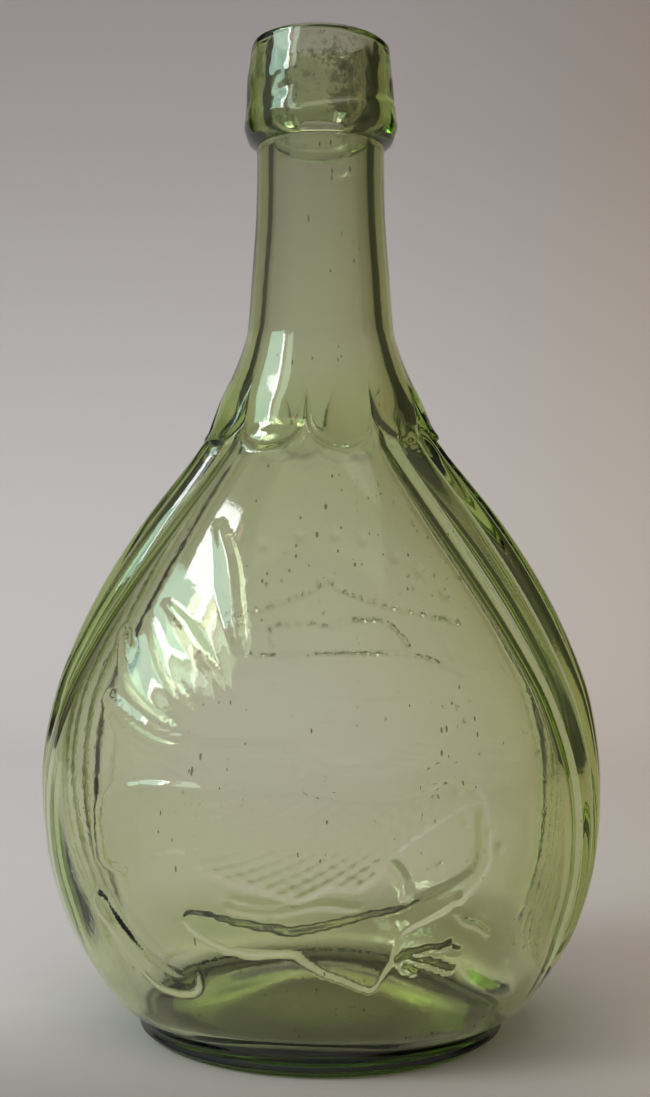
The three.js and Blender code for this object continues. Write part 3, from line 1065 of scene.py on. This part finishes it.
def glass_material(name):
    made, tree, shader, output = material(name)
    shader.inputs["Transmission Weight"].default_value = 1
    shader.inputs["IOR"].default_value = GLASS_IOR
    roughness = mapped(tree, noise_of(tree, SMUDGES), *SMUDGE_SPAN, *SMUDGE_ROUGHNESS)
    tree.links.new(roughness, shader.inputs["Roughness"])
    colour = mixed(tree, speck_share(tree), film_foot_shade_and_grime(tree), SPECK_COLOUR)
    tree.links.new(colour, shader.inputs["Base Color"])
    tree.links.new(uneven_normal(tree), shader.inputs["Normal"])
    depth = node(tree, "ShaderNodeVolumeAbsorption", Color=GLASS_TINT, Density=GLASS_DENSITY)
    tree.links.new(depth.outputs["Volume"], output.inputs["Volume"])
    return made


def paper_material():
    """Paper with painted light: painted shade up the wall, painted warm shade to the right, and a painted
    shadow in front of the flask.
    """
    made, tree, shader, _ = material("sweep_paper")
    axes = axes_of(tree, "Object")
    # Painted shade: darker up the wall
    colour = mixed(tree, mapped(tree, axes["Z"], *PAPER_SHADE_HEIGHTS), PAPER_LOW, PAPER_HIGH)
    # Painted shade, warm like the flask's tinted shadow, to the right
    painted_shade_right = mapped(tree, axes["X"], *PAPER_RIGHT_SPAN)
    colour = mixed(tree, painted_shade_right, colour, PAPER_RIGHT_PAINTED_SHADE, "MULTIPLY")
    # Painted shadow in front of the flask
    painted_shadow_front = mapped(tree, axes["Y"], *PAPER_FRONT_SPAN)
    colour = mixed(tree, painted_shadow_front, colour, PAPER_FRONT_PAINTED_SHADOW, "MULTIPLY")
    tree.links.new(colour, shader.inputs["Base Color"])
    shader.inputs["Roughness"].default_value = PAPER_ROUGHNESS
    shader.inputs["Specular IOR Level"].default_value = PAPER_SPECULAR
    return made


def show(name, mesh, finish):
    piece = bpy.data.objects.new(name, mesh)
    bpy.context.scene.collection.objects.link(piece)
    mesh.materials.append(finish)
    return piece


# Stage, light and camera, in metres

FLASK_MIDDLE = (0, 0, 0.1)
FLOOR_REACH = 3
SWEEP_LEFT = -1.3
SWEEP_RIGHT = 0.52
SWEEP_TURN = 0.42
SWEEP_RADIUS = 0.45
SWEEP_TOP = 1.2
SWEEP_ROWS = 32


def sweep_mesh():
    """A wide floor, with a strip that curves up into a wall behind the flask."""
    turn = [
        (SWEEP_TURN + SWEEP_RADIUS * math.sin(a), SWEEP_RADIUS * (1 - math.cos(a)))
        for a in np.linspace(0, math.pi / 2, SWEEP_ROWS)
    ]
    up = [*turn, (SWEEP_TURN + SWEEP_RADIUS, SWEEP_TOP)]
    points = [(x, y, z) for y, z in up for x in (SWEEP_LEFT, SWEEP_RIGHT)]
    faces = [(2 * i, 2 * i + 1, 2 * i + 3, 2 * i + 2) for i in range(len(up) - 1)]
    start = len(points)
    reach = FLOOR_REACH
    points += [(-reach, -reach, 0), (reach, -reach, 0), (reach, SWEEP_TURN, 0), (-reach, SWEEP_TURN, 0)]
    faces.append(tuple(range(start, start + 4)))
    made = bpy.data.meshes.new("sweep")
    made.from_pydata(points, [], faces)
    made.shade_smooth()
    return made


def add_lamp(name, place, aim, size, radiance, colour):
    data = bpy.data.lights.new(name, "AREA")
    data.shape = "RECTANGLE"
    data.size, data.size_y = size
    data.energy = radiance * math.pi * size[0] * size[1]
    data.color = colour
    lamp = bpy.data.objects.new(name, data)
    lamp.location = place
    lamp.rotation_euler = (Vector(aim) - Vector(place)).to_track_quat("-Z", "Y").to_euler()
    lamp.visible_camera = False
    bpy.context.scene.collection.objects.link(lamp)


def towards(azimuth, elevation, distance):
    """A place seen from the flask at an azimuth from the front, positive to the right."""
    a, e = math.radians(azimuth), math.radians(elevation)
    flat = distance * math.cos(e)
    return (flat * math.sin(a), -flat * math.cos(a), distance * math.sin(e) + FLASK_MIDDLE[2])


SKY_LIGHT = (0.93, 0.97, 1)
WOOD_LIGHT = (1, 0.6, 0.35)
TREE_LIGHT = (0.78, 1, 0.84)
GARDEN_LIGHT = (0.6, 1, 0.86)
CEILING_LIGHT = (1, 0.97, 0.96)
# (name, place, aim, size, radiance, colour): a window high on the left, and the ceiling
LAMPS = [
    ("window_sky", towards(-58, 41, 1.45), FLASK_MIDDLE, (0.34, 0.16), 16, SKY_LIGHT),
    ("window_top", towards(-49, 35, 1.45), FLASK_MIDDLE, (0.07, 0.4), 14, SKY_LIGHT),
    ("window_frame", towards(-44.5, 35, 1.45), FLASK_MIDDLE, (0.035, 0.4), 3, WOOD_LIGHT),
    ("window_tree", towards(-38, 35, 1.45), FLASK_MIDDLE, (0.2, 0.36), 4.5, TREE_LIGHT),
    ("window_garden", towards(-62, 32, 1.4), FLASK_MIDDLE, (0.55, 0.3), 6, GARDEN_LIGHT),
    ("ceiling", (0, -0.2, 1.6), (0, 0.1, 0), (1.4, 1.4), 1, CEILING_LIGHT),
]

ROOM_LEFT = (0.62, 0.64, 0.63, 1)
ROOM_RIGHT = (0.40, 0.36, 0.30, 1)
ROOM_BACK = (0.22, 0.2, 0.19, 1)
ROOM_DARK = (0.045, 0.04, 0.034, 1)
# Spans of a direction's X and Y over which the room's tone changes
ROOM_RIGHT_SPAN = (-0.5, 0.7)
ROOM_BACK_SPAN = (-0.6, 0.5)
# (azimuth, cosine of the angle from it where the dark sets in, and where it is full)
DARK_PARTS = [(124, 0.8, 0.93), (245, 0.945, 0.99)]


def facing_level(tree):
    """The direction looked in, without its slope."""
    coords = node(tree, "ShaderNodeTexCoord")
    flat = node(tree, "ShaderNodeVectorMath", operation="MULTIPLY")
    tree.links.new(coords.outputs["Generated"], flat.inputs[0])
    flat.inputs[1].default_value = (1, 1, 0)
    level = node(tree, "ShaderNodeVectorMath", operation="NORMALIZE")
    tree.links.new(flat.outputs["Vector"], level.inputs[0])
    return level.outputs["Vector"]


def dark_share(tree, level, azimuth, edge, full):
    a = math.radians(azimuth)
    facing = node(tree, "ShaderNodeVectorMath", operation="DOT_PRODUCT")
    tree.links.new(level, facing.inputs[0])
    facing.inputs[1].default_value = (math.sin(a), -math.cos(a), 0)
    return mapped(tree, facing.outputs["Value"], edge, full)


def add_world():
    """A room that is light to the left, brown to the right and dim behind, with two dark parts."""
    world = bpy.data.worlds.new("room")
    world.use_nodes = True
    tree = world.node_tree
    axes = axes_of(tree, "Generated")
    colour = mixed(tree, mapped(tree, axes["X"], *ROOM_RIGHT_SPAN), ROOM_LEFT, ROOM_RIGHT)
    colour = mixed(tree, mapped(tree, axes["Y"], *ROOM_BACK_SPAN), colour, ROOM_BACK)
    level = facing_level(tree)
    for part in DARK_PARTS:
        colour = mixed(tree, dark_share(tree, level, *part), colour, ROOM_DARK)
    tree.links.new(colour, tree.nodes["Background"].inputs["Color"])
    bpy.context.scene.world = world


# The camera of the photo, as its perspective tells. The flask's axis is at AXIS_PIXEL_X.
PHOTO_WIDTH, PHOTO_HEIGHT = 650, 1097
AXIS_PIXEL_X = 320.5
CAMERA_AZIMUTH = math.radians(9)
CAMERA_DISTANCE = 0.344
CAMERA_HEIGHT = 0.1112
FOCAL_PIXELS = 1458
SENSOR_MM = 36
CLIP_START = 0.01


def add_camera():
    data = bpy.data.cameras.new("camera")
    data.sensor_width = SENSOR_MM
    data.lens = SENSOR_MM * FOCAL_PIXELS / PHOTO_HEIGHT
    data.shift_x = (PHOTO_WIDTH / 2 - AXIS_PIXEL_X) / PHOTO_HEIGHT
    data.clip_start = CLIP_START
    camera = bpy.data.objects.new("camera", data)
    camera.location = (
        CAMERA_DISTANCE * math.sin(CAMERA_AZIMUTH),
        -CAMERA_DISTANCE * math.cos(CAMERA_AZIMUTH),
        CAMERA_HEIGHT,
    )
    camera.rotation_euler = (math.pi / 2, 0, CAMERA_AZIMUTH)
    bpy.context.scene.collection.objects.link(camera)
    bpy.context.scene.camera = camera


# The scene

SHARP_ANGLE = math.radians(60)

add_camera()
glass = glass_material("bottle_glass")
body = show("body_glass", body_mesh(), glass)
collar = show("collar_glass", collar_mesh(), glass)
for piece, name in ((body, "blown_body"), (collar, "applied_collar")):
    piece.data.set_sharp_from_angle(angle=SHARP_ANGLE)
    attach(piece, "root")
    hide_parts(name)
show("sweep", sweep_mesh(), paper_material())
add_world()
for lamp in LAMPS:
    add_lamp(*lamp)
bpy.context.scene.view_settings.view_transform = "Standard"
